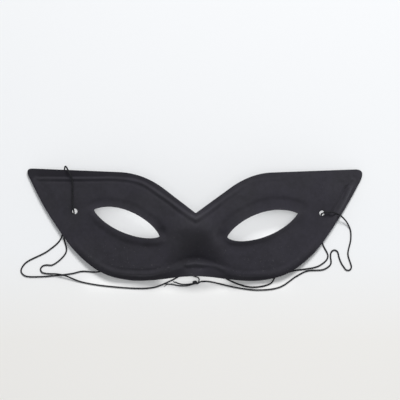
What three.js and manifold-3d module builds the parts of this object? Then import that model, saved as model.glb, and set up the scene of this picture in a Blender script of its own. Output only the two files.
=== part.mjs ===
// A masquerade half mask: a thin moulded shell with pointed wings, lying on its back, face up,
// with its round elastic threaded through both wings and tied below the nose.
// Millimetres, +Z up. The floor is z = 0 and the origin is under the middle of the shell.
//
// The mask's own frame is (u, v, w): u across to the wing tips, v up the face, w out of the face.

import * as THREE from "three";
import { mergeVertices } from "three/addons/utils/BufferGeometryUtils.js";
import Module from "manifold-3d";

const wasm = await Module();
wasm.setup();

// Shell: one moulded wall that falls back towards the wing tips. The two lobes curl under at a hem.
// The nose rises from the brow to its top, falls to a fold above the arch and flares out below it
const wall = 1.8;
const sideBend = 0.0027;
const browBend = 0.001;
const lobe = { curl: 0.0042, startV: -9, middleU: 31, halfWidth: 21 };
const hem = { startV: -27.6, slope: 0.95, round: 1 };
const nose = {
  height: 9.5,
  topV: -1,
  arch: 0.02,
  rise: 12,
  fall: 0.97,
  round: 3,
  foldV: -17.5,
  foldRound: 0.8,
  flare: 0.4,
  halfWidth: 11.5,
  spread: 0.32,
  steepness: 3,
};

// Outline, right half: the V between the brows, the brow, the slanted side, the lobe, the nose arch
const notchV = 8.9;
const browStart = { right: [19.3, 22.9], left: [19, 23.4] };
const browCorner = { right: [31.2, 31.9], left: [30.5, 31.9] };
const browEnd = [44, 32.7];
const tipV = 35;
const tipReach = 100.3;
const tipRound = { left: 4.5, right: 6.5 };
const sideSlope = 0.5;
const sidePoints = [
  [90.4, 13],
  [80.4, -2],
  [71, -14],
  [60, -23.4],
  [50.2, -28.3],
  [40, -30.6],
  [32, -31.1],
  [20, -30.1],
  [9, -28.6],
  [0, -28],
];
const outlineSteps = 3.2;

// Eye holes: two almonds that differ a little, as the hand cutting left them. Each has an inner and an
// outer corner, and two handles for its upper and two for its lower edge
const eyeDivisions = 9;
const eyes = {
  right: {
    inner: [18.4, -5.2],
    outer: [60.5, 8.7],
    upper: [
      [22.5, 3.3],
      [42.7, 15.8],
    ],
    lower: [
      [49.7, -6.2],
      [24, -10.8],
    ],
  },
  left: {
    inner: [-21, -5],
    outer: [-59.9, 10.6],
    upper: [
      [-23.6, 3.4],
      [-44.7, 17.3],
    ],
    lower: [
      [-53.5, -0.4],
      [-31.6, -8.7],
    ],
  },
};

// Cord holes, punched by hand near the outer ends of the eyes
const cordHoleDiameter = 3.2;
const cordHoleSides = 12;
const cordHoles = {
  right: { u: 75.1, v: 8.8 },
  left: { u: 71.2, v: 9.6 },
};

// Raised bead inside the outline, right half, with a plain flange outside it
const beadRadius = 1.1;
const beadSink = 0.35;
const beadOverlap = 0.6;
const beadSteps = 56;
const beadSides = 6;
const beadPoints = [
  [0, 6],
  [5, 8.8],
  [19.5, 18.9],
  [32.5, 26.8],
  [46, 28.9],
  [73, 28.9],
  [91, 28.8],
  [92.4, 26.8],
  [84.4, 13.9],
  [73.5, -3],
  [62.3, -17],
  [49.5, -24.6],
  [35, -26.3],
  [24, -25.6],
  [11, -22],
  [0, -20.2],
];

// Shell grid, closer together round the nose and the hem, and the block that trims it
const gridWidth = 210;
const gridHeight = 74;
const gridColumns = 58;
const gridRows = 21;
const evenShare = 0.6;
const trimDepth = 120;
const slopeStep = 0.01;
const weldDistance = 1e-4;

// Round elastic, [x, y, z] where it lies: from the knot out to the right, up over the right wing's side
// and down through its hole, under the shell to the left, up over the left wing's top edge and down
// through its hole, then back to the knot
const cordDiameter = 0.9;
const cordSides = 8;
const cordSteps = 95;
const cordPoints = [
  [3.3, -34.4, 0.7],
  [7.2, -34.3, 0.45],
  [12.2, -35.2, 0.45],
  [24, -37.9, 0.45],
  [37.5, -39.4, 0.45],
  [49.9, -37.6, 0.45],
  [59.5, -31.2, 0.45],
  [66, -27.9, 0.45],
  [76.2, -26.8, 0.45],
  [80.2, -23.6, 0.45],
  [80.2, -19.2, 0.45],
  [80.4, -17.1, 0.45],
  [81.2, -15.7, 0.45],
  [82.6, -15.1, 0.45],
  [84.1, -15.7, 0.45],
  [84.8, -17.2, 0.45],
  [85.2, -19.4, 0.45],
  [86.6, -23.3, 0.45],
  [88.25, -25.9, 0.45],
  [89.05, -27, 0.45],
  [90.4, -27.45, 0.45],
  [91.75, -26.9, 0.45],
  [92.4, -25.6, 0.45],
  [92.2, -24, 0.45],
  [90.6, -17.6, 0.45],
  [92.5, -8.5, 0.45],
  [92.4, -2.6, 0.45],
  [90.2, 1.7, 2],
  [86.9, 4.7, 4.2],
  [84.1, 6, 5.5],
  [81.8, 6.4, 6.9],
  [79.2, 6.2, 7.7],
  [77.6, 5.9, 8.5],
  [76.6, 5.7, 8.7],
  [75.6, 5.5, 8.3],
  [74.95, 5.4, 7.4],
  [74.8, 5.3, 6.3],
  [74.8, 4.7, 3.9],
  [75, 2.2, 1],
  [75.3, -1.8, 0.45],
  [75.6, -10.9, 0.45],
  [78.6, -19.3, 0.45],
  [73.2, -24.7, 0.45],
  [57.8, -27.9, 0.45],
  [47.6, -31.3, 0.45],
  [44.6, -35.3, 0.45],
  [33.5, -37.7, 0.45],
  [21.7, -34.4, 0.45],
  [5, -24.5, 0.45],
  [-18, -18, 0.45],
  [-42, -22, 0.45],
  [-56.6, -28.5, 0.45],
  [-66.8, -28.3, 0.45],
  [-73, -29.7, 0.45],
  [-92.2, -31.6, 0.45],
  [-100.4, -31, 0.45],
  [-102.7, -28.3, 0.45],
  [-100.5, -23.6, 0.45],
  [-86.9, -15.7, 0.45],
  [-79.4, -7.7, 0.45],
  [-79.6, 7.5, 0.45],
  [-79.5, 20, 0.7],
  [-78.8, 27.4, 4.1],
  [-78, 31, 8.3],
  [-77.4, 32.7, 11.7],
  [-76.7, 32.1, 14.1],
  [-75.7, 30.2, 15.5],
  [-74.1, 27, 15.6],
  [-72.8, 24, 14.9],
  [-72.5, 18, 13.4],
  [-72.4, 11.3, 11.9],
  [-72.2, 8.6, 11.4],
  [-72, 7, 11],
  [-71.8, 6.1, 9.9],
  [-71.8, 6, 8.1],
  [-71.9, 5.6, 5.6],
  [-72.6, 4, 2.4],
  [-74.5, 1, 0.8],
  [-76.7, -2.9, 0.45],
  [-77.9, -7.5, 0.45],
  [-76.4, -16.5, 0.45],
  [-84.2, -24.4, 0.45],
  [-88.2, -24.5, 0.45],
  [-90.3, -25.3, 0.45],
  [-91.3, -27.1, 0.45],
  [-90.4, -28.9, 0.45],
  [-88.2, -29.6, 0.45],
  [-86, -29.8, 0.6],
  [-81, -30.3, 1.7],
  [-76.5, -31.3, 1.7],
  [-67, -34.7, 0.45],
  [-50.2, -37.4, 0.45],
  [-25.5, -38.1, 0.45],
  [-14.6, -34, 0.45],
  [-5.5, -29.6, 0.45],
  [0.4, -31.5, 0.45],
];

// Knot that joins the two ends, with its two tails
const knotMiddle = [1, -35.1, 1.2];
const knotSize = [3.6, 3.8, 2.4];
const knotSides = 12;
const knotRings = 8;
const tailPoints = [
  [
    [0.4, -35.5, 0.9],
    [-4.9, -36.5, 0.5],
    [-10, -36.3, 0.5],
    [-15.8, -36.2, 0.5],
  ],
  [
    [0.4, -34.7, 1],
    [-4.5, -35.4, 0.6],
    [-8.6, -35.5, 0.5],
    [-11.2, -33.7, 0.5],
  ],
];
const tailSteps = 8;

// Rest: the shell lies on its wing tips and on the low points of its lobes, each with a small flat
const wingContact = { u: 100.3, v: 32.4 };
const lobeContact = { u: 34.5, v: -30.88 };
const flatDepth = 0.3;

// Colours and finish
const feltColour = 0x1b1a1d;
const feltRoughness = 0.95;
const elasticColour = 0x18181a;
const elasticRoughness = 0.8;

function bell(x) {
  return Math.exp(-x * x);
}

// Zero far below x = 0, then a straight rise, with a rounded bend between them
function bendAt(x, round) {
  return (x + Math.hypot(x, round)) / 2;
}

// Height w of the face over (u, v)
function faceHeight(u, v) {
  const bend = sideBend * u * u + browBend * v * v;
  const below = Math.max(0, lobe.startV - v);
  const drop = lobe.curl * below * below + hem.slope * bendAt(hem.startV - v, hem.round);
  const curl = drop * bell((Math.abs(u) - lobe.middleU) / lobe.halfWidth);
  const ramp = v + nose.arch * u * u;
  const down = bendAt(nose.topV - ramp, nose.round);
  const rise = nose.height * bell(Math.max(0, v - nose.topV) / nose.rise);
  const flare = (nose.fall + nose.flare) * bendAt(nose.foldV - ramp, nose.foldRound);
  const reach = nose.halfWidth + nose.spread * down;
  const ridge = (rise - nose.fall * down + flare) * Math.exp(-Math.pow(Math.abs(u) / reach, nose.steepness));
  return ridge - bend - curl;
}

// Height w of the hollow side, one wall thickness in along the surface normal
function backHeight(u, v) {
  const across = 2 * slopeStep;
  const slopeU = (faceHeight(u + slopeStep, v) - faceHeight(u - slopeStep, v)) / across;
  const slopeV = (faceHeight(u, v + slopeStep) - faceHeight(u, v - slopeStep)) / across;
  return faceHeight(u, v) - wall * Math.hypot(1, slopeU, slopeV);
}

// A closed three.js geometry as a solid, and back
function solidFrom(geometry) {
  const bare = geometry.clone();
  bare.deleteAttribute("normal");
  bare.deleteAttribute("uv");
  const merged = mergeVertices(bare, weldDistance);
  return new wasm.Manifold(
    new wasm.Mesh({
      numProp: 3,
      vertProperties: merged.attributes.position.array,
      triVerts: new Uint32Array(merged.index.array),
    }),
  );
}

function geometryFrom(solid) {
  const mesh = solid.getMesh();
  const geometry = new THREE.BufferGeometry();
  geometry.setAttribute("position", new THREE.BufferAttribute(mesh.vertProperties, 3));
  geometry.setIndex(new THREE.BufferAttribute(mesh.triVerts, 1));
  const flat = geometry.toNonIndexed();
  flat.computeVertexNormals();
  return flat;
}

// Half of the outline from the notch round to the middle of the nose arch
function halfOutline(side) {
  const round = tipRound[side];
  const cornerU = tipReach + (round * (1 + sideSlope)) / 4;
  const path = new THREE.Path();
  path.moveTo(0, notchV);
  path.lineTo(...browStart[side]);
  path.quadraticCurveTo(...browCorner[side], ...browEnd);
  path.lineTo(cornerU - round, tipV);
  path.quadraticCurveTo(cornerU, tipV, cornerU - sideSlope * round, tipV - round);
  path.splineThru(sidePoints.map(([u, v]) => new THREE.Vector2(u, v)));
  return path.getSpacedPoints(Math.round(path.getLength() / outlineSteps));
}

function mirrored(points) {
  return points.map((point) => new THREE.Vector2(-point.x, point.y));
}

function outlineShape() {
  const left = mirrored(halfOutline("left"));
  const right = halfOutline("right").reverse();
  const shape = new THREE.Shape([...left, ...right.slice(1, -1)]);
  shape.holes.push(eyeHole(eyes.right), eyeHole(eyes.left));
  shape.holes.push(cordHole(cordHoles.right, 1), cordHole(cordHoles.left, -1));
  return shape;
}

function eyeHole(eye) {
  const path = new THREE.Path();
  path.moveTo(...eye.inner);
  path.bezierCurveTo(...eye.upper[0], ...eye.upper[1], ...eye.outer);
  path.bezierCurveTo(...eye.lower[0], ...eye.lower[1], ...eye.inner);
  return new THREE.Path(path.getPoints(eyeDivisions).slice(0, -1));
}

function cordHole(place, side) {
  const path = new THREE.Path();
  path.absarc(side * place.u, place.v, cordHoleDiameter / 2, 0, 2 * Math.PI);
  return new THREE.Path(path.getPoints(cordHoleSides / 2).slice(0, -1));
}

// The moulded wall: a flat block bent to the face, then trimmed to the outline and its holes
function shellWall() {
  const block = new THREE.BoxGeometry(gridWidth, gridHeight, 1, gridColumns, gridRows, 1);
  const position = block.attributes.position;
  for (let i = 0; i < position.count; i += 1) {
    const across = position.getX(i) / (gridWidth / 2);
    const up = position.getY(i) / gridHeight + 0.5;
    const u = (gridWidth / 2) * across * (evenShare + (1 - evenShare) * across * across);
    const v = gridHeight * (up * (evenShare + (1 - evenShare) * up) - 0.5);
    const height = position.getZ(i) > 0 ? faceHeight(u, v) : backHeight(u, v);
    position.setXYZ(i, u, v, height);
  }
  const trim = new THREE.ExtrudeGeometry(outlineShape(), { depth: trimDepth, bevelEnabled: false });
  trim.translate(0, 0, -trimDepth / 2);
  return solidFrom(block).intersect(solidFrom(trim));
}

// One half of the bead, a rod half sunk in the face
function beadHalf(side) {
  const points = beadPoints.map(([u, v], i) => {
    const past = i === 0 || i === beadPoints.length - 1 ? beadOverlap : 0;
    return new THREE.Vector3(side * (u - past), v, faceHeight(u, v) - beadSink);
  });
  const spine = new THREE.CatmullRomCurve3(points);
  const onFace = spine.getSpacedPoints(beadSteps).map((point) => {
    return point.setZ(faceHeight(point.x, point.y) - beadSink);
  });
  const section = new THREE.Shape();
  section.absarc(0, 0, beadRadius, 0, 2 * Math.PI);
  const rod = new THREE.ExtrudeGeometry(new THREE.Shape(section.getPoints(beadSides / 2).slice(0, -1)), {
    steps: beadSteps,
    bevelEnabled: false,
    extrudePath: new THREE.CatmullRomCurve3(onFace),
  });
  return solidFrom(rod);
}

// Turn from the mask's own frame to the way it lies, so that wings and lobes reach the floor together
const restTilt = Math.atan(
  (backHeight(lobeContact.u, lobeContact.v) - backHeight(wingContact.u, wingContact.v)) /
    (wingContact.v - lobeContact.v),
);

function lyingShell() {
  const built = shellWall().add(beadHalf(1)).add(beadHalf(-1));
  const geometry = geometryFrom(built);
  geometry.rotateX(restTilt);
  geometry.computeBoundingBox();
  const middle = geometry.boundingBox.getCenter(new THREE.Vector3());
  geometry.translate(-middle.x, -middle.y, -geometry.boundingBox.min.z - flatDepth);
  const room = new THREE.BoxGeometry(2 * gridWidth, 2 * gridWidth, gridWidth);
  room.translate(0, 0, gridWidth / 2);
  return solidFrom(geometry).intersect(solidFrom(room));
}

// A smooth curve that never dips below the floor. Its steps are shared out evenly between its
// points, so that they fall closest where the points do
class RouteCurve extends THREE.CatmullRomCurve3 {
  getUtoTmapping(share) {
    return share;
  }

  getPoint(share, target) {
    const point = super.getPoint(share, target);
    point.z = Math.max(point.z, cordDiameter / 2);
    return point;
  }
}

function elasticAlong(points, steps) {
  const section = new THREE.Shape();
  section.absarc(0, 0, cordDiameter / 2, 0, 2 * Math.PI);
  const ring = section.getPoints(cordSides / 2).slice(0, -1);
  const route = points.map((point) => new THREE.Vector3(...point));
  return new THREE.ExtrudeGeometry(new THREE.Shape(ring), {
    steps,
    bevelEnabled: false,
    extrudePath: new RouteCurve(route),
  });
}

function knotWithTails() {
  const body = new THREE.SphereGeometry(0.5, knotSides, knotRings);
  body.scale(...knotSize);
  body.translate(...knotMiddle);
  const tails = tailPoints.map((points) => solidFrom(elasticAlong(points, tailSteps)));
  return geometryFrom(solidFrom(body).add(tails[0]).add(tails[1]));
}

const feltMaterial = new THREE.MeshStandardMaterial({
  color: feltColour,
  roughness: feltRoughness,
  metalness: 0,
});

const elasticMaterial = new THREE.MeshStandardMaterial({
  color: elasticColour,
  roughness: elasticRoughness,
  metalness: 0,
});

const mask = new THREE.Group();

function addPiece(name, geometry, material) {
  const piece = new THREE.Mesh(geometry, material);
  piece.name = name;
  mask.add(piece);
}

addPiece("mask_shell", geometryFrom(lyingShell()), feltMaterial);
addPiece("elastic_cord", elasticAlong(cordPoints, cordSteps), elasticMaterial);
addPiece("elastic_knot", knotWithTails(), elasticMaterial);

export default mask;
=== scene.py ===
# A black felt half mask with its round elastic, lying face up on a pale table.
import math
import bpy
import numpy as np
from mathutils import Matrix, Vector, geometry, kdtree, noise


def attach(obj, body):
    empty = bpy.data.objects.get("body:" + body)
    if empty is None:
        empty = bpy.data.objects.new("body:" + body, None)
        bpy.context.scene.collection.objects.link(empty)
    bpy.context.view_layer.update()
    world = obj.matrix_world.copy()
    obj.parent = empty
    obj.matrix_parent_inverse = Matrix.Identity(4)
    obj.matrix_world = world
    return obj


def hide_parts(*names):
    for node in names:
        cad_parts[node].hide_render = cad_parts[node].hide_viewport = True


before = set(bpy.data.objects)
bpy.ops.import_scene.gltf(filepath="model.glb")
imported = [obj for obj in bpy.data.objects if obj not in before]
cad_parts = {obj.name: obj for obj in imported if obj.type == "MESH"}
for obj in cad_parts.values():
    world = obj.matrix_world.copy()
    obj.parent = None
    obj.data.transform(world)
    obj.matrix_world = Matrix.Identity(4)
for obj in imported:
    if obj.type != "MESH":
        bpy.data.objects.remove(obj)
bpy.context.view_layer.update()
mm = 0.001  # shapes are written in millimetres and made in metres
curveSteps = 24  # straight pieces between two handles of a curve


def pickOnly(piece):
    bpy.ops.object.select_all(action="DESELECT")
    piece.select_set(True)
    bpy.context.view_layer.objects.active = piece


def bezierHandles(points):
    # Handles of a smooth line through given points, which stays taut where they crowd
    spots = [Vector(p) for p in points]
    ends = [2 * spots[0] - spots[1]] + spots + [2 * spots[-1] - spots[-2]]
    spans = [max((b - a).length, 1e-9) ** 0.5 for a, b in zip(ends, ends[1:])]
    handles = []
    for i, here in enumerate(spots):
        before, after = ends[i], ends[i + 2]
        left, right = spans[i], spans[i + 1]
        slope = (here - before) / left - (after - before) / (left + right) + (after - here) / right
        handles.append((here - slope * left / 3, here, here + slope * right / 3))
    return handles


def walkAlong(handles, stepLength):
    # Evenly spaced points along the line that the handles make
    dense = [handles[0][1]]
    for (_, a, out), (into, b, _) in zip(handles, handles[1:]):
        dense += geometry.interpolate_bezier(a, out, into, b, curveSteps)[1:]
    lengths = [0.0]
    for a, b in zip(dense, dense[1:]):
        lengths.append(lengths[-1] + (b - a).length)
    count = max(2, round(lengths[-1] / stepLength))
    wanted = np.linspace(0, lengths[-1], count + 1)
    columns = [np.interp(wanted, lengths, [p[k] for p in dense]) for k in range(len(dense[0]))]
    return [Vector(p) for p in zip(*columns)]


# Camera, face on to the mask
view = {"place": (-13.4, -240.4, 896.7), "turn": (15.943, -1.0, -0.14), "lens": 140.25, "sensor": 36}

bpy.ops.object.camera_add(
    location=[c * mm for c in view["place"]], rotation=[math.radians(a) for a in view["turn"]]
)
camera = bpy.context.object
camera.data.lens = view["lens"]
camera.data.sensor_width = view["sensor"]
camera.data.clip_start = 10 * mm
bpy.context.scene.camera = camera
print("camera placed")


# Round elastic: where it lies, from the knot out to the right and back to the knot
elastic = {
    "diameter": 0.9,
    "length": 638.1,
    "step": 0.5,
    "roundness": 3,
    "route": [
        (3.3, -34.4, 0.7), (7.2, -34.3, 0.45), (12.2, -35.2, 0.45), (24, -37.9, 0.45),
        (37.5, -39.4, 0.45), (49.9, -37.6, 0.45), (59.5, -31.2, 0.45), (66, -27.9, 0.45),
        (76.2, -26.8, 0.45), (80.2, -23.6, 0.45), (80.2, -19.2, 0.45), (80.4, -17.1, 0.45),
        (81.2, -15.7, 0.45), (82.6, -15.1, 0.45), (84.1, -15.7, 0.45), (84.8, -17.2, 0.45),
        (85.2, -19.4, 0.45), (86.6, -23.3, 0.45), (88.25, -25.9, 0.45), (89.05, -27, 0.45),
        (90.4, -27.45, 0.45), (91.75, -26.9, 0.45), (92.4, -25.6, 0.45), (92.2, -24, 0.45),
        (90.6, -17.6, 0.45), (92.5, -8.5, 0.45), (92.4, -2.6, 0.45), (90.2, 1.7, 2), (86.9, 4.7, 4.2),
        (84.1, 6, 5.5), (81.8, 6.4, 6.9), (79.2, 6.2, 7.7), (77.6, 5.9, 8.5), (76.6, 5.7, 8.7),
        (75.6, 5.5, 8.3), (74.95, 5.4, 7.4), (74.8, 5.3, 6.3), (74.8, 4.7, 3.9), (75, 2.2, 1),
        (75.3, -1.8, 0.45), (75.6, -10.9, 0.45), (78.6, -19.3, 0.45), (73.2, -24.7, 0.45),
        (57.8, -27.9, 0.45), (47.6, -31.3, 0.45), (44.6, -35.3, 0.45), (33.5, -37.7, 0.45),
        (21.7, -34.4, 0.45), (5, -24.5, 0.45), (-18, -18, 0.45), (-42, -22, 0.45), (-56.6, -28.5, 0.45),
        (-66.8, -28.3, 0.45), (-73, -29.7, 0.45), (-92.2, -31.6, 0.45), (-100.4, -31, 0.45),
        (-102.7, -28.3, 0.45), (-100.5, -23.6, 0.45), (-86.9, -15.7, 0.45), (-79.4, -7.7, 0.45),
        (-79.6, 7.5, 0.45), (-79.5, 20, 0.7), (-78.8, 27.4, 4.1), (-78, 31, 8.3), (-77.4, 32.7, 11.7),
        (-76.7, 32.1, 14.1), (-75.7, 30.2, 15.5), (-74.1, 27, 15.6), (-72.8, 24, 14.9),
        (-72.5, 18, 13.4), (-72.4, 11.3, 11.9), (-72.2, 8.6, 11.4), (-72, 7, 11), (-71.8, 6.1, 9.9),
        (-71.8, 6, 8.1), (-71.9, 5.6, 5.6), (-72.6, 4, 2.4), (-74.5, 1, 0.8), (-76.7, -2.9, 0.45),
        (-77.9, -7.5, 0.45), (-76.4, -16.5, 0.45), (-84.2, -24.4, 0.45), (-88.2, -24.5, 0.45),
        (-90.3, -25.3, 0.45), (-91.3, -27.1, 0.45), (-90.4, -28.9, 0.45), (-88.2, -29.6, 0.45),
        (-86, -29.8, 0.6), (-81, -30.3, 1.7), (-76.5, -31.3, 1.7), (-67, -34.7, 0.45),
        (-50.2, -37.4, 0.45), (-25.5, -38.1, 0.45), (-14.6, -34, 0.45), (-5.5, -29.6, 0.45),
        (0.4, -31.5, 0.45),
    ],
}


def tubeAlong(name, points, diameter):
    # A mesh tube along points in millimetres, kept on the table
    line = bpy.data.curves.new(name, "CURVE")
    line.dimensions = "3D"
    line.bevel_depth = diameter / 2 * mm
    line.bevel_resolution = elastic["roundness"]
    line.use_fill_caps = True
    spline = line.splines.new("POLY")
    spline.points.add(len(points) - 1)
    for spot, point in zip(spline.points, points):
        spot.co = (point.x * mm, point.y * mm, max(point.z, diameter / 2) * mm, 1)
    tube = bpy.data.objects.new(name, line)
    bpy.context.collection.objects.link(tube)
    pickOnly(tube)
    bpy.ops.object.convert(target="MESH")
    bpy.ops.object.shade_smooth()
    return bpy.context.object


elasticLine = walkAlong(bezierHandles(elastic["route"]), elastic["step"])
elasticCord = tubeAlong("elasticCord", elasticLine, elastic["diameter"])
print("elastic laid,", len(elasticLine), "steps")


# Mask pattern: the flat shape that is cut out, mm across and up the face. u grows to the right wing.
# Sides are 1 for the right and -1 for the left. Each tip reaches to the middle of its round, which
# lies tipCut of the round's size inside the sharp corner
pattern = {
    "notch": (0, 8.9),
    "browStart": {1: (19.3, 22.9), -1: (19, 23.4)},
    "browCorner": {1: (31.2, 31.9), -1: (30.5, 31.9)},
    "browEnd": (44, 32.7),
    "tipHeight": 35,
    "tipReach": 100.3,
    "tipRound": {1: 6.5, -1: 4.5},
    "tipCut": 0.375,
    "side": [
        (90.4, 13), (80.4, -2), (71, -14), (60, -23.4), (50.2, -28.3),
        (40, -30.6), (32, -31.1), (20, -30.1), (9, -28.6), (0, -28),
    ],
    "eyeCorners": {1: [(18.4, -5.2), (60.5, 8.7)], -1: [(-21, -5), (-59.9, 10.6)]},
    "eyeUpper": {1: [(22.5, 3.3), (42.7, 15.8)], -1: [(-23.6, 3.4), (-44.7, 17.3)]},
    "eyeLower": {1: [(49.7, -6.2), (24, -10.8)], -1: [(-53.5, -0.4), (-31.6, -8.7)]},
    "cordHole": {1: (75.1, 8.8), -1: (-71.2, 9.6)},
    "cordHoleDiameter": 3.2,
}


def flat(u, v):
    return Vector((u, v, 0))


def bent(start, corner, end):
    # Handles of a curve that leaves start towards corner and comes from it to end
    return start.lerp(corner, 2 / 3), end.lerp(corner, 2 / 3)


def halfPattern(side):
    # Handles of half of the outline, from the notch out round the wing to the nose arch
    roundness = pattern["tipRound"][side]
    cornerU = pattern["tipReach"] + roundness * pattern["tipCut"]
    notch, end = flat(*pattern["notch"]), flat(*pattern["browEnd"])
    start, corner = flat(*pattern["browStart"][side]), flat(*pattern["browCorner"][side])
    tipIn = flat(cornerU - roundness, pattern["tipHeight"])
    tip = flat(cornerU, pattern["tipHeight"])
    tipOut = flat(cornerU - roundness / 2, pattern["tipHeight"] - roundness)
    lower = [tipOut] + [flat(*p) for p in pattern["side"]]
    browOut, browIn = bent(start, corner, end)
    roundOut, roundIn = bent(tipIn, tip, tipOut)
    handles = [
        (notch, notch, notch.lerp(start, 1 / 3)),
        (start.lerp(notch, 1 / 3), start, browOut),
        (browIn, end, end.lerp(tipIn, 1 / 3)),
        (tipIn.lerp(end, 1 / 3), tipIn, roundOut),
    ]
    for i, here in enumerate(lower):
        before = lower[max(i - 1, 0)]
        after = lower[min(i + 1, len(lower) - 1)]
        handles.append((here - (after - before) / 6, here, here + (after - before) / 6))
    first = handles[4]
    handles[4] = (roundIn, first[1], first[2])
    return [tuple(Vector((side * p.x, p.y, 0)) for p in three) for three in handles]


def eyeHandles(side):
    inner, outer = (flat(*p) for p in pattern["eyeCorners"][side])
    upperIn, upperOut = (flat(*p) for p in pattern["eyeUpper"][side])
    lowerOut, lowerIn = (flat(*p) for p in pattern["eyeLower"][side])
    return [(lowerIn, inner, upperIn), (upperOut, outer, lowerOut)]


rightHalf = halfPattern(1)
leftHalf = [(after, here, before) for before, here, after in reversed(halfPattern(-1))]
outline = rightHalf[:-1] + [(rightHalf[-1][0], rightHalf[-1][1], leftHalf[0][2])] + leftHalf[1:-1]
outline[0] = (leftHalf[-1][0], outline[0][1], outline[0][2])
eyes = {side: eyeHandles(side) for side in (1, -1)}


# Moulded form of the shell, mm. Along v the nose rises to its top, falls to a fold and flares again
form = {
    "wall": 1.8,
    "sideBend": 0.0027,
    "browBend": 0.001,
    "lobe": {"middleU": 31, "halfWidth": 21, "startV": -9, "curl": 0.0042},
    "hem": {"startV": -27.6, "slope": 0.95, "round": 1},
    "nose": {
        "height": 9.5, "topV": -1, "arch": 0.02, "rise": 12, "fall": 0.97, "round": 3, "foldV": -17.5,
        "foldRound": 0.8, "flare": 0.4, "halfWidth": 11.5, "spread": 0.32, "steepness": 3,
    },
    "voxel": 0.5,
}

# Relief pressed into the felt, mm, with the painted shade and painted highlight that go with it. Each row of
# the bead has a place, a height on the right and on the left half, a width, how much painted shade darkens
# the flange outside it on the right and on the left, and how deep its outer and inner grooves are for its
# height
relief = {
    "bead": [
        (0, 5.3, 1.2, 1.2, 0.9, 0.2, 0.2, 0.5, 0.7),
        (5, 8.3, 0.9, 1.1, 0.8, 0, 0.1, 0.4, 0.7),
        (19.5, 18.7, 0.35, 0.9, 0.75, 0, 0.1, 0.35, 0.5),
        (32.5, 26.7, 0.1, 0.75, 0.75, 0, 0.4, 0.25, 0.4),
        (46, 28.9, 0.1, 0.65, 0.65, 0, 0.6, 0.2, 0.6),
        (60, 28.9, 0, 0.65, 0.6, 0, 0.75, 0.25, 0.8),
        (73, 28.9, 0, 0.65, 0.6, 0, 0.9, 0.3, 1),
        (83, 28.9, 0, 0.6, 0.6, 0, 1, 0.35, 1),
        (91.8, 28.9, 0, 0.55, 0.6, 0, 1, 0.4, 1),
        (95.2, 28.4, 0.5, 0.25, 0.95, 0, 0.6, 0.2, 0.2),
        (91.8, 22, 1.6, 0.05, 0.95, 0, 0.2, 0.2, 1),
        (87.4, 13.6, 1.5, 0.05, 0.95, 0, 0.1, 0.2, 1),
        (75.9, -3.4, 0.2, 0.1, 1.0, 0.1, 0.1, 0.3, 0.3),
        (62.3, -17, 0.3, 0.3, 0.9, 0.9, 0.9, 0.4, 0),
        (49.5, -25, 0.3, 0.5, 0.8, 1, 1, 0.6, 0.5),
        (35, -27, 0.35, 0.55, 0.8, 1, 1, 0.6, 0.8),
        (24, -26.4, 0.2, 0.5, 0.8, 1, 1, 0.6, 1),
        (11, -22, 0.9, 0.2, 1.1, 0.6, 1, 0.45, 0),
        (0, -20.4, 2.5, 2.5, 1.5, 0, 0, 0.25, 0),
    ],
    "beadBlend": {"soft": 1, "power": 4},
    "beadSwing": {"share": 0.15, "size": 9, "seed": 3.5},
    "grooveAt": {"outer": 2.1, "inner": 2.7},
    "flange": {"start": 1.9, "soft": 0.5},
    # wear plus a painted highlight on the bead's crest, stronger where the bead stands higher
    "beadScuffAndHighlight": {"strength": 0.38, "mostHeight": 2.4, "aside": 0.4},
    # the last value of each lid is the strength of painted shade under it
    "lids": {
        1: {
            "brow": 1.3, "browAway": 7.2, "browSoft": 1.3,
            "lower": 1.4, "lowerAway": 1.8, "lowerSoft": 1.0, "paintedLidShade": 0.6,
        },
        -1: {
            "brow": 0.9, "browAway": 4.6, "browSoft": 1.2,
            "lower": 1.7, "lowerAway": 3.6, "lowerSoft": 1.2, "paintedLidShade": 0.4,
        },
    },
    "lidTurn": 2.5,
    "lidSwing": {"height": 0.5, "size": 12, "seed": 5.5},
    "lip": {"height": 0.3, "reach": 1.5},
    # painted shade along the inner part of the lower lids
    "paintedLidShade": {"soft": 1.5, "innerPart": 22, "fade": 7},
    # wear plus a painted highlight along the eye edges
    "eyeScuffAndHighlight": {"strength": 0.6, "reach": 0.7},
    "pits": [
        (-20.2, -2.4, 1.5, 3.3), (16.2, -4.4, 1.4, 3.3), (11.8, -4, 0.5, 2.6), (-10, -0.4, -0.9, 4.4),
        (-28, -10.6, 0.5, 2.4), (-39, -9.2, 0.3, 2.6), (29.5, 14.6, 0.3, 2.6), (46, 19.6, 0.25, 3),
    ],
    "pitShade": {"strength": 0.3, "fromDepth": 0.3},
    # spots of painted shade: the nose front, beside the right eye's outer corner and at the left eye's inner
    # corner
    "shadeSpots": [(2, -10.5, 9, 0.55), (62, 4.5, 6, 0.35), (-19, 1, 4, 0.2)],
    "pucker": {"depth": 0.5, "reach": 3.4, "shade": 0.5, "shadeReach": 2},
    "wave": {"height": 0.09, "size": 6.5, "seed": 8.5},
    "onLining": 0.7,
    "lineStep": 0.25,
}

# The way the mask lies: leant back until wing tips and lobes touch the table
lie = {"tilt": 16.1276, "shift": (-0.0571, -7.1752, 20.238)}


def bell(x):
    return np.exp(-x * x)


def fade(x):
    return 0.5 + 0.5 * np.tanh(x)


def bendAt(x, roundness):
    # Zero on the left, then a straight rise, with a rounded bend between them
    return (x + np.sqrt(x * x + roundness * roundness)) / 2


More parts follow.
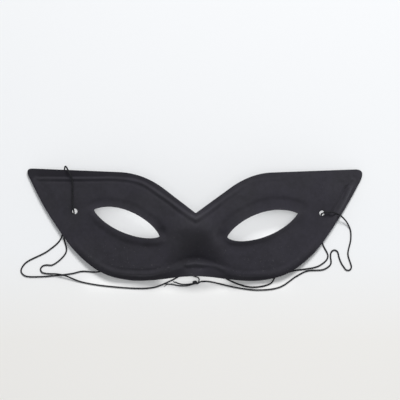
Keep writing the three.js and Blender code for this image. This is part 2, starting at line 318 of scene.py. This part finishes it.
def faceHeight(u, v):
    # How far the moulded face stands off the flat pattern
    lobe, hem, nose = form["lobe"], form["hem"], form["nose"]
    height = -form["sideBend"] * u * u - form["browBend"] * v * v
    curl = lobe["curl"] * np.maximum(0, lobe["startV"] - v) ** 2
    curl += hem["slope"] * bendAt(hem["startV"] - v, hem["round"])
    height -= curl * bell((abs(u) - lobe["middleU"]) / lobe["halfWidth"])
    ramp = v + nose["arch"] * u * u
    down = bendAt(nose["topV"] - ramp, nose["round"])
    ridge = nose["height"] * bell(np.maximum(0, v - nose["topV"]) / nose["rise"]) - nose["fall"] * down
    ridge += (nose["fall"] + nose["flare"]) * bendAt(nose["foldV"] - ramp, nose["foldRound"])
    reach = nose["halfWidth"] + nose["spread"] * down
    return height + ridge * np.exp(-(abs(u) / reach) ** nose["steepness"])


def backHeight(u, v):
    # The same for the lining, which lies one wall below the face, measured square to it
    step = 0.01
    slopeU = (faceHeight(u + step, v) - faceHeight(u - step, v)) / (2 * step)
    slopeV = (faceHeight(u, v + step) - faceHeight(u, v - step)) / (2 * step)
    return faceHeight(u, v) - form["wall"] * np.sqrt(1 + slopeU**2 + slopeV**2)


def distanceTo(line, u, v):
    # Distance from each place to a line, and the same with a sign, plus on the line's left
    tree = kdtree.KDTree(len(line))
    for i, point in enumerate(line):
        tree.insert((point.x, point.y, 0), i)
    tree.balance()
    nearest = np.array([tree.find((a, b, 0))[1] for a, b in zip(u, v)])
    spots = np.array([(p.x, p.y) for p in line])
    here = np.stack([u, v], -1)
    best = np.full(len(u), np.inf)
    sign = np.ones(len(u))
    for offset in (-1, 0):  # the two stretches of the line that meet at its nearest point
        first = np.clip(nearest + offset, 0, len(line) - 2)
        start = spots[first]
        along = spots[first + 1] - start
        share = np.clip(((here - start) * along).sum(1) / np.maximum((along * along).sum(1), 1e-12), 0, 1)
        away = here - start - along * share[:, None]
        distance = np.hypot(away[:, 0], away[:, 1])
        side = np.sign(along[:, 0] * away[:, 1] - along[:, 1] * away[:, 0])
        nearer = distance < best
        sign = np.where(nearer, side, sign)
        best = np.where(nearer, distance, best)
    return best, best * sign


def cutSheet():
    # The pattern as a flat plate with its holes, then an even skin that can be pressed
    cut = bpy.data.curves.new("maskShell", "CURVE")
    cut.dimensions = "2D"
    cut.fill_mode = "BOTH"
    cut.resolution_u = curveSteps
    cut.extrude = form["wall"] / 2 * mm
    for loop in [outline, *eyes.values()]:
        spline = cut.splines.new("BEZIER")
        spline.bezier_points.add(len(loop) - 1)
        spline.use_cyclic_u = True
        for point, (into, here, out) in zip(spline.bezier_points, loop):
            point.handle_left_type = point.handle_right_type = "FREE"
            point.co, point.handle_left, point.handle_right = here * mm, into * mm, out * mm
    plate = bpy.data.objects.new("maskShell", cut)
    bpy.context.collection.objects.link(plate)
    punches = []
    for place in pattern["cordHole"].values():
        bpy.ops.curve.primitive_bezier_circle_add(
            radius=pattern["cordHoleDiameter"] / 2 * mm, location=flat(*place) * mm
        )
        punches.append(bpy.context.object)
    pickOnly(plate)
    for punch in punches:
        punch.select_set(True)
    bpy.ops.object.join()
    bpy.ops.object.convert(target="MESH")
    plate = bpy.context.object
    plate.data.remesh_voxel_size = form["voxel"] * mm
    plate.data.remesh_voxel_adaptivity = 0
    bpy.ops.object.voxel_remesh()
    return plate


maskShell = cutSheet()
print("mask cut,", len(maskShell.data.polygons), "faces")

corners = np.zeros(len(maskShell.data.vertices) * 3)
maskShell.data.vertices.foreach_get("co", corners)
corners = corners.reshape(-1, 3) / mm
u, v = corners[:, 0], corners[:, 1]
share = np.clip(corners[:, 2] / form["wall"] + 0.5, 0, 1)  # 0 on the lining, 1 on the felt


def wander(size, seed):
    # Slow, smooth unevenness between about -1 and 1, with features of that size in mm
    swing = 1.6  # the noise alone reaches about 0.6
    return np.array([swing * noise.noise((a / size, b / size, seed)) for a, b in zip(u, v)])


def beadColumns():
    # The bead's rows at every place on the mask, each row counting the more the nearer it is
    rows = np.array([(side * row[0], row[1]) for row in relief["bead"] for side in (1, -1)])
    apart = np.hypot(u[:, None] - rows[:, 0], v[:, None] - rows[:, 1])
    weight = 1 / (apart + relief["beadBlend"]["soft"]) ** relief["beadBlend"]["power"]
    columns = {"height": (2, 3), "width": (4, 4), "shade": (5, 6), "outer": (7, 7), "inner": (8, 8)}
    at = {}
    for name, sides in columns.items():
        values = np.array([row[k] for row in relief["bead"] for k in sides])
        at[name] = weight @ values / weight.sum(1)
    return at


def beadPress():
    # The raised line inside the edge, which the press left stronger in some places than in others
    right = [flat(row[0], row[1]) for row in relief["bead"]]
    half = walkAlong(bezierHandles(right), relief["lineStep"])
    loop = half + [Vector((-p.x, p.y, 0)) for p in reversed(half)]
    fromBead, outside = distanceTo(loop, u, v)
    at, swing, groove = beadColumns(), relief["beadSwing"], relief["grooveAt"]
    height, width = at["height"], at["width"]
    raised = height * (1 + swing["share"] * wander(swing["size"], swing["seed"]))
    rise = raised * bell(fromBead / width)
    rise -= at["outer"] * height * bell((outside - groove["outer"] * width) / width)
    rise -= at["inner"] * height * bell((outside + groove["inner"] * width) / width)
    flange, crestScuffAndShine = relief["flange"], relief["beadScuffAndHighlight"]
    # painted shade on the flange outside the bead, where the edge turns away from the light
    shade = at["shade"] * fade((outside - flange["start"] * width) / flange["soft"])
    # wear plus a painted highlight on the crest, the more the higher the bead
    crestScuffAndHighlight = crestScuffAndShine["strength"] * np.clip(raised, 0, crestScuffAndShine["mostHeight"])
    return rise, shade, crestScuffAndHighlight * bell((outside - crestScuffAndShine["aside"]) / width)


def lidPress(side):
    # The brow steps down towards the eye, and the lower lid stands up round its edge, with painted shade
    # along its inner part
    lid, lip, swing, paintedLidShade = relief["lids"][side], relief["lip"], relief["lidSwing"], relief["paintedLidShade"]
    loop = walkAlong(eyes[side] + eyes[side][:1], relief["lineStep"])
    fromEdge, _ = distanceTo(loop, u, v)
    inner, outer = eyes[side][0][1], eyes[side][1][1]
    axis = (outer - inner).normalized()
    aside = side * (axis.x * (v - inner.y) - axis.y * (u - inner.x))
    upper = fade(aside / relief["lidTurn"])
    wavy = fromEdge + swing["height"] * wander(swing["size"], swing["seed"])
    press = -lid["brow"] * fade((lid["browAway"] - wavy) / lid["browSoft"]) * upper
    press += lip["height"] * np.exp(-fromEdge / lip["reach"]) * upper
    press += lid["lower"] * fade((lid["lowerAway"] - wavy) / lid["lowerSoft"]) * (1 - upper)
    along = (u - inner.x) * axis.x + (v - inner.y) * axis.y
    inwards = fade((paintedLidShade["innerPart"] - along) / paintedLidShade["fade"])
    belowLid = fade((lid["lowerAway"] + paintedLidShade["soft"] - wavy) / paintedLidShade["soft"]) * (1 - upper)
    return press, fromEdge, lid["paintedLidShade"] * belowLid * inwards


press, shade, scuffAndHighlight = beadPress()
fromEye = np.full(len(u), np.inf)
for side in (1, -1):
    lids, fromEdge, paintedLidShade = lidPress(side)
    press += lids
    # painted shade under the lower lid
    shade += paintedLidShade
    fromEye = np.minimum(fromEye, fromEdge)
# wear plus a painted highlight along the eye edges
scuffAndHighlight += relief["eyeScuffAndHighlight"]["strength"] * np.exp(-fromEye / relief["eyeScuffAndHighlight"]["reach"])
for pitU, pitV, depth, size in relief["pits"]:
    dent = depth * bell(np.hypot(u - pitU, v - pitV) / size)
    press -= dent
    shade += relief["pitShade"]["strength"] * np.maximum(dent - relief["pitShade"]["fromDepth"], 0)
for spotU, spotV, size, strength in relief["shadeSpots"]:
    # painted shade spots
    shade += strength * bell(np.hypot(u - spotU, v - spotV) / size)
pucker = relief["pucker"]
for holeU, holeV in pattern["cordHole"].values():
    fromHole = np.maximum(np.hypot(u - holeU, v - holeV) - pattern["cordHoleDiameter"] / 2, 0)
    press -= pucker["depth"] * np.exp(-fromHole / pucker["reach"])
    shade += pucker["shade"] * np.exp(-fromHole / pucker["shadeReach"])
press += relief["wave"]["height"] * wander(relief["wave"]["size"], relief["wave"]["seed"])
print("relief pressed")

top = faceHeight(u, v) + press
under = backHeight(u, v) + relief["onLining"] * press
height = under + share * (top - under)
tilt = math.radians(lie["tilt"])
lying = np.stack([
    u,
    v * math.cos(tilt) - height * math.sin(tilt),
    v * math.sin(tilt) + height * math.cos(tilt),
], -1) + lie["shift"]
lying[:, 2] = np.maximum(lying[:, 2], 0)
maskShell.data.vertices.foreach_set("co", (lying * mm).ravel())

# the first mark lightens the felt as wear plus a painted highlight, the second darkens it as painted shade
for name, values in (("scuffAndHighlight", np.clip(scuffAndHighlight, 0, 1)), ("paintedShade", np.clip(shade, 0, 1))):
    marks = maskShell.data.attributes.new(name, "FLOAT", "POINT")
    marks.data.foreach_set("value", values.astype(np.float32))
maskShell.data.update()
pickOnly(maskShell)
bpy.ops.object.shade_smooth()

faceCorners = np.zeros(len(maskShell.data.loops), dtype=np.int32)
maskShell.data.loops.foreach_get("vertex_index", faceCorners)
starts = np.zeros(len(maskShell.data.polygons), dtype=np.int32)
maskShell.data.polygons.foreach_get("loop_start", starts)
faceShare = np.add.reduceat(share[faceCorners], starts) / np.diff(np.append(starts, len(faceCorners)))
rim = 0.07  # faces further than this share of the wall from both skins are the cut edge
slots = np.where(faceShare > 1 - rim, 0, np.where(faceShare < rim, 1, 2)).astype(np.int32)
print("mask pressed and laid down")


# Knot: both ends in one overhand knot, with two short tails that are frayed
knot = {
    "middle": (-0.3, -35.2, 1.05),
    "loopSize": 0.28,
    "loopHeight": 0.4,
    "openTurn": 0.55,
    "loopPoints": 25,
    "strandGap": 0.3,
    "diameter": 0.72,
    "step": 0.2,
    "fray": {
        "strands": 8, "length": 2.6, "shortest": 0.5, "diameter": 0.13, "spread": 0.9, "inside": 0.5,
        "across": 0.2, "bend": 0.8, "hump": 0.25, "step": 0.3, "seed": 4,
    },
    "tails": [
        [(-1.7, -36.1, 0.8), (-5, -36.9, 0.6), (-9, -36.9, 0.4), (-13, -36.2, 0.4), (-16.4, -35.9, 0.4)],
        [(-1.5, -35.7, 1.0), (-4.5, -36.1, 0.7), (-8.5, -35.9, 0.4), (-12, -34.7, 0.4)],
    ],
    "leads": [
        [(3.3, -34.4, 0.7), (2.3, -35, 0.7), (1.2, -35.7, 0.8)],
        [(0.4, -31.5, 0.5), (1.5, -31.9, 0.8), (2.2, -33.2, 1.3), (1.9, -34.9, 1.3), (1, -35.6, 1.1)],
    ],
}


def overhand(offset):
    # One strand of the knot: a pretzel whose two ends leave at its foot
    middle = Vector(knot["middle"])
    spots = []
    last = math.pi - knot["openTurn"]
    for turn in np.linspace(-last, last, knot["loopPoints"]):
        spot = Vector((math.sin(turn) + 2 * math.sin(2 * turn), math.cos(turn) - 2 * math.cos(2 * turn), 0))
        along = Vector((math.cos(turn) + 4 * math.cos(2 * turn), 4 * math.sin(2 * turn) - math.sin(turn), 0))
        aside = Vector((-along.y, along.x, 0)).normalized() * offset
        rise = Vector((0, 0, -math.sin(3 * turn) * knot["loopHeight"]))
        spots.append(middle + spot * knot["loopSize"] + aside + rise)
    return spots


def frayed(route, spin):
    # Loose yarn ends that spread from a cut end and lie on the table
    fray = knot["fray"]
    tip, before = Vector(route[-1]), Vector(route[-2])
    ahead = (tip - before).normalized()
    strands = []
    for _ in range(fray["strands"]):
        turn, bend = spin.uniform(-1, 1), spin.uniform(-1, 1)
        reach = spin.uniform(fray["shortest"], 1) * fray["length"]
        aside = turn * fray["spread"]
        way = Vector((ahead.x - ahead.y * aside, ahead.y + ahead.x * aside, 0))
        shift = Vector((0, turn * fray["across"], spin.uniform(-fray["across"], fray["across"])))
        start = tip - ahead * fray["inside"] + shift
        middle = start + way * reach / 2
        end = start + way * reach + Vector((0, bend * fray["bend"], 0))
        middle.z, end.z = fray["hump"], fray["diameter"] / 2
        line = walkAlong(bezierHandles([start, middle, end]), fray["step"])
        strands.append(tubeAlong("elasticKnot", line, fray["diameter"]))
    return strands


knotPieces = []
spin = np.random.default_rng(knot["fray"]["seed"])
for side, lead, tail in zip((1, -1), knot["leads"], knot["tails"]):
    route = lead + overhand(side * knot["strandGap"]) + tail
    strand = walkAlong(bezierHandles(route), knot["step"])
    knotPieces.append(tubeAlong("elasticKnot", strand, knot["diameter"]))
    knotPieces += frayed(tail, spin)
pickOnly(knotPieces[0])
for piece in knotPieces:
    piece.select_set(True)
bpy.ops.object.join()
elasticKnot = bpy.context.object
elasticKnot.name = "elasticKnot"
print("knot tied")


# Shared effects, as groups of nodes that any material can use
def newGroup(name, inputs, outputs):
    group = bpy.data.node_groups.new(name, "ShaderNodeTree")
    for label, value in inputs.items():
        kind = "NodeSocketFloat" if isinstance(value, float) else "NodeSocketVector"
        socket = group.interface.new_socket(label, in_out="INPUT", socket_type=kind)
        if isinstance(value, float):
            socket.default_value = value
    for label in outputs:
        group.interface.new_socket(label, in_out="OUTPUT", socket_type="NodeSocketFloat")
    return group, group.nodes.new("NodeGroupInput"), group.nodes.new("NodeGroupOutput")


def addNode(tree, kind, **settings):
    node = tree.nodes.new("ShaderNode" + kind)
    for name, value in settings.items():
        setattr(node, name, value)
    return node


def feed(tree, node, **values):
    # Sets a node's inputs to a value, a colour or another node's output. Each goes by its name with _
    # for a space, or by _ and its place where names repeat
    for name, value in values.items():
        socket = node.inputs[int(name[1:])] if name[0] == "_" else node.inputs[name.replace("_", " ")]
        if isinstance(value, bpy.types.NodeSocket):
            tree.links.new(value, socket)
        else:
            socket.default_value = value
    return node


def combine(tree, operation, a, b):
    # Two values put together by a maths node
    return feed(tree, addNode(tree, "Math", operation=operation), _0=a, _1=b).outputs[0]


def noiseField(tree, place, **settings):
    return feed(tree, addNode(tree, "TexNoise"), Vector=place, **settings).outputs[0]


def spread(tree, value, **limits):
    # A value brought from one range to another, kept inside it
    return feed(tree, addNode(tree, "MapRange"), Value=value, **limits).outputs[0]


napLook = {
    "sizes": {
        "Place": None, "Blotch Size": 130.0, "Fleck Size": 420.0, "Fibre Size": 2200.0, "Pill Share": 0.7,
    },
    "mottleRange": (0.76, 1.24), "clumpScale": 900.0, "coarseScale": 520.0, "pillGain": 14.0,
    "raised": {"fibre": 0.5, "coarse": 0.8, "pill": 0.5},
}


def feltGroup():
    # Pressed fibres: blotches of two sizes, a fine nap and small pills of loose fibre
    group, given, out = newGroup("feltNap", napLook["sizes"], ["Mottle", "Fibre", "Pill", "Height"])
    place, raised = given.outputs["Place"], napLook["raised"]
    blotch = noiseField(group, place, Scale=given.outputs["Blotch Size"], Detail=3.0, Distortion=0.6)
    fleck = noiseField(group, place, Scale=given.outputs["Fleck Size"], Detail=3.0, Roughness=0.6)
    fibre = noiseField(
        group, place, Scale=given.outputs["Fibre Size"], Detail=5.0, Roughness=0.65, Distortion=1.2
    )
    both, (low, high) = combine(group, "ADD", blotch, fleck), napLook["mottleRange"]
    mottle = spread(group, both, From_Min=low, From_Max=high)
    clump = noiseField(group, place, Scale=napLook["clumpScale"], Detail=2.0, Distortion=0.8)
    over = combine(group, "SUBTRACT", clump, given.outputs["Pill Share"])
    pill = combine(group, "MULTIPLY", over, napLook["pillGain"])
    pill.node.use_clamp = True
    coarse = noiseField(group, place, Scale=napLook["coarseScale"], Detail=3.0)
    height = combine(group, "MULTIPLY", fibre, raised["fibre"])
    height = combine(group, "ADD", height, combine(group, "MULTIPLY", coarse, raised["coarse"]))
    height = combine(group, "ADD", height, combine(group, "MULTIPLY", pill, raised["pill"]))
    feed(group, out, Mottle=mottle, Fibre=fibre, Pill=pill, Height=height)
    return group


def braidGroup():
    # Yarns that cross round a thin cord, from its own UV map
    inputs = {"Map": None, "Yarns": 8.0, "Pitch": 700.0}
    group, given, out = newGroup("braidedYarn", inputs, ["Yarn", "Height"])
    parts = feed(group, addNode(group, "SeparateXYZ"), Vector=given.outputs["Map"])
    around = combine(group, "MULTIPLY", parts.outputs[0], given.outputs["Yarns"])
    along = combine(group, "MULTIPLY", parts.outputs[1], given.outputs["Pitch"])
    waves = []
    for operation in ("ADD", "SUBTRACT"):
        turn = combine(group, "MULTIPLY", combine(group, operation, along, around), 2 * math.pi)
        waves.append(feed(group, addNode(group, "Math", operation="SINE"), _0=turn).outputs[0])
    yarn = combine(group, "MULTIPLY_ADD", combine(group, "MAXIMUM", *waves), 0.5)
    yarn.node.inputs[2].default_value = 0.5
    feed(group, out, Yarn=yarn, Height=yarn)
    return group


nap, braid = feltGroup(), braidGroup()


def newMaterial(name):
    material = bpy.data.materials.new(name)
    material.use_nodes = True
    tree = material.node_tree
    return material, tree, tree.nodes["Principled BSDF"]


def blendColours(tree, share, dark, light):
    # Inputs 0, 6 and 7 and output 2 are the mix node's sockets for colours
    mix = addNode(tree, "Mix", data_type="RGBA")
    feed(tree, mix, _0=share, _6=dark, _7=light)
    return mix.outputs[2]


def objectPlace(tree):
    return addNode(tree, "TexCoord").outputs["Object"]


def marked(tree, name):
    return addNode(tree, "Attribute", attribute_name=name).outputs["Fac"]


def bumped(tree, height, strength, depth):
    bump = feed(tree, addNode(tree, "Bump"), Strength=strength, Distance=depth * mm, Height=height)
    return bump.outputs[0]


feltLook = {
    "dark": (0.0228, 0.0217, 0.0265, 1), "light": (0.038, 0.0362, 0.0442, 1),
    # the crest colour below is wear plus a painted highlight
    "pill": (0.080, 0.079, 0.086, 1), "scuffAndHighlight": (0.070, 0.068, 0.078, 1),
    # the first colour below is painted shade for hollows, flanges, lids and the nose front
    "paintedShade": (0.0135, 0.0125, 0.017, 1), "sheen": (0.55, 0.54, 0.62, 1),
    "mottleShare": 0.7, "fibreShare": 0.35, "pillShare": 0.7, "paintedShadeShare": 0.9,
    "pillsGrow": {"From_Min": 0.0, "From_Max": -0.02, "To_Min": 0.73, "To_Max": 0.66},
    # painted light: the right wing is made paler, as if lit from the right
    "lightFromRight": {"From_Min": -0.1, "From_Max": 0.1, "To_Min": 0.0, "To_Max": 0.2},
    "drifts": {"From_Min": 0.35, "From_Max": 0.65, "To_Min": 0.95, "To_Max": 1.25},
    "driftScale": 45.0, "roughness": (0.82, 0.97), "bump": 0.35, "bumpDepth": 0.16,
    "specular": 0.25, "sheenWeight": 0.25, "sheenRoughness": 0.45,
}


def feltColour(tree, place, across, fibres):
    # Right wing painted a little paler as light from the right, tint drifts, raised lines get wear plus a
    # painted highlight, hollows get painted shade
    look = feltLook
    share = combine(tree, "ADD", combine(tree, "MULTIPLY", fibres.outputs["Mottle"], look["mottleShare"]),
                    combine(tree, "MULTIPLY", fibres.outputs["Fibre"], look["fibreShare"]))
    # painted light from the right: the right wing paler
    share = combine(tree, "ADD", share, spread(tree, across, **look["lightFromRight"]))
    colour = blendColours(tree, share, look["dark"], look["light"])
    drift = spread(tree, noiseField(tree, place, Scale=look["driftScale"], Detail=1.0), **look["drifts"])
    colour = feed(tree, addNode(tree, "HueSaturation"), Saturation=drift, Color=colour).outputs[0]
    # wear plus a painted highlight on the bead crests and eye edges
    scuffAndHighlight = combine(tree, "MULTIPLY", marked(tree, "scuffAndHighlight"), fibres.outputs["Fibre"])
    colour = blendColours(tree, scuffAndHighlight, colour, look["scuffAndHighlight"])
    pills = combine(tree, "MULTIPLY", fibres.outputs["Pill"], look["pillShare"])
    colour = blendColours(tree, pills, colour, look["pill"])
    # painted shade in hollows, on flanges, under the lids, round the holes and on the nose front
    paintedShade = combine(tree, "MULTIPLY", marked(tree, "paintedShade"), look["paintedShadeShare"])
    return blendColours(tree, paintedShade, colour, look["paintedShade"])


def feltMaterial():
    material, tree, shader = newMaterial("blackFelt")
    look, place = feltLook, objectPlace(tree)
    across, up, _ = feed(tree, addNode(tree, "SeparateXYZ"), Vector=place).outputs
    pills = spread(tree, up, **look["pillsGrow"])
    fibres = feed(tree, addNode(tree, "Group", node_tree=nap), Place=place, Pill_Share=pills)
    smooth, rough = look["roughness"]
    feed(
        tree, shader, Base_Color=feltColour(tree, place, across, fibres),
        Roughness=spread(tree, fibres.outputs["Mottle"], To_Min=smooth, To_Max=rough),
        Normal=bumped(tree, fibres.outputs["Height"], look["bump"], look["bumpDepth"]),
        Specular_IOR_Level=look["specular"], Sheen_Weight=look["sheenWeight"],
        Sheen_Roughness=look["sheenRoughness"], Sheen_Tint=look["sheen"],
    )
    return material


liningLook = {
    "name": "blackLining", "fleck": 250.0, "fibre": 900.0, "colourFrom": "Mottle", "roughFrom": "Fibre",
    "bumpFrom": "Fibre", "dark": (0.012, 0.012, 0.014, 1), "light": (0.026, 0.025, 0.029, 1),
    "roughness": (0.55, 0.8), "bump": 0.25, "bumpDepth": 0.12, "specular": 0.35,
}
edgeLook = {
    "name": "cutFeltEdge", "fleck": 700.0, "fibre": 1500.0, "colourFrom": "Fibre", "roughFrom": "Mottle",
    "bumpFrom": "Height", "dark": (0.010, 0.010, 0.012, 1), "light": (0.030, 0.029, 0.034, 1),
    "roughness": (0.85, 1.0), "bump": 0.6, "bumpDepth": 0.3, "specular": 0.5,
}


def plainFibreMaterial(look):
    material, tree, shader = newMaterial(look["name"])
    fibres = feed(
        tree, addNode(tree, "Group", node_tree=nap), Place=objectPlace(tree),
        Fleck_Size=look["fleck"], Fibre_Size=look["fibre"],
    )
    smooth, rough = look["roughness"]
    feed(
        tree, shader,
        Base_Color=blendColours(tree, fibres.outputs[look["colourFrom"]], look["dark"], look["light"]),
        Roughness=spread(tree, fibres.outputs[look["roughFrom"]], To_Min=smooth, To_Max=rough),
        Normal=bumped(tree, fibres.outputs[look["bumpFrom"]], look["bump"], look["bumpDepth"]),
        Specular_IOR_Level=look["specular"],
    )
    return material


# Pitch counts the turns of the yarn along a whole tube, so the short knot has fewer
yarnLook = {
    "pitch": {"elasticYarn": 900.0, "knottedYarn": 45.0}, "yarns": 4.0,
    "dark": (0.006, 0.006, 0.007, 1), "light": (0.028, 0.028, 0.032, 1),
    "roughness": (0.9, 0.65), "bump": 0.6, "bumpDepth": 0.12, "specular": 0.2,
}


def elasticMaterial(name):
    material, tree, shader = newMaterial(name)
    look, along = yarnLook, addNode(tree, "TexCoord").outputs["UV"]
    group = addNode(tree, "Group", node_tree=braid)
    feed(tree, group, Map=along, Yarns=look["yarns"], Pitch=look["pitch"][name])
    low, high = look["roughness"]
    feed(
        tree, shader, Base_Color=blendColours(tree, group.outputs["Yarn"], look["dark"], look["light"]),
        Roughness=spread(tree, group.outputs["Yarn"], To_Min=low, To_Max=high),
        Normal=bumped(tree, group.outputs["Height"], look["bump"], look["bumpDepth"]),
        Specular_IOR_Level=look["specular"],
    )
    return material


def dress(piece, *materials):
    piece.data.materials.clear()
    for material in materials:
        piece.data.materials.append(material)


dress(maskShell, feltMaterial(), plainFibreMaterial(liningLook), plainFibreMaterial(edgeLook))  # slots 0 to 2
maskShell.data.polygons.foreach_set("material_index", slots)
maskShell.data.update()
dress(elasticCord, elasticMaterial("elasticYarn"))
dress(elasticKnot, elasticMaterial("knottedYarn"))
print("materials mixed")


# Table and light, in metres, and low lamps in millimetres. The table is warmer and darker in front
studio = {
    "table": 3.0, "farColour": (0.906, 0.914, 0.922, 1), "nearColour": (0.882, 0.866, 0.834, 1),
    "farUntil": -0.015, "nearFrom": -0.07, "tableRoughness": 0.9,
    "sky": (0.93, 0.96, 1.0, 1), "skyStrength": 0.3,
    "lamps": [
        ("overCamera", (0.0, -0.38, 1.3), 0.5, 3.0),
        ("fromBrow", (0.26, 0.82, 1.3), 0.7, 16.3),
    ],
    "low": [
        ("underLeftEye", (-38, 0, 5), (48, 22), 0.0021),
        ("underRightEye", (38, -1.5, 5), (48, 22), 0.0020),
        ("underArch", (0, -32, 3), (40, 10), 0.0008),
        ("byLeftLobe", (-38, -35.8, 4), (54, 6), 0.0002),
        ("byRightLobe", (34, -35.8, 4), (46, 6), 0.0001),
        ("underLeftHole", (-71, 8, 2.5), (6, 6), 0.0001),
        ("underRightHole", (75, 8, 2.5), (6, 6), 0.0001),
    ],
}


def tableMaterial():
    material, tree, shader = newMaterial("paleTable")
    _, ahead, _ = feed(tree, addNode(tree, "SeparateXYZ"), Vector=objectPlace(tree)).outputs
    near = spread(tree, ahead, From_Min=studio["farUntil"], From_Max=studio["nearFrom"])
    colour = blendColours(tree, near, studio["farColour"], studio["nearColour"])
    feed(tree, shader, Base_Color=colour, Roughness=studio["tableRoughness"])
    return material


bpy.ops.mesh.primitive_plane_add(size=studio["table"])
table = bpy.context.object
table.name = "table"
dress(table, tableMaterial())

for name, place, size, power in studio["lamps"]:
    bpy.ops.object.light_add(type="AREA", location=place)
    lamp = bpy.context.object
    lamp.name = name
    lamp.data.shape = "DISK"
    lamp.data.size = size
    lamp.data.energy = power
    lamp.rotation_euler = Vector(place).to_track_quat("Z", "Y").to_euler()

for name, place, size, power in studio["low"]:  # keep the table bright close to the mask
    bpy.ops.object.light_add(type="AREA", location=[c * mm for c in place])
    lamp = bpy.context.object
    lamp.name = name
    lamp.data.shape = "RECTANGLE"
    lamp.data.size, lamp.data.size_y = (c * mm for c in size)
    lamp.data.energy = power

world = bpy.data.worlds.new("studio")
bpy.context.scene.world = world
world.use_nodes = True
sky = world.node_tree.nodes["Background"]
feed(world.node_tree, sky, Color=studio["sky"], Strength=studio["skyStrength"])
bpy.context.scene.view_settings.view_transform = "Standard"
print("studio lit")


# What stands for what
for piece, node, slot in (
    (maskShell, "mask_shell", "felt"),
    (elasticCord, "elastic_cord", "elastic"),
    (elasticKnot, "elastic_knot", "elastic"),
):
    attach(piece, "root")
    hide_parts(node)
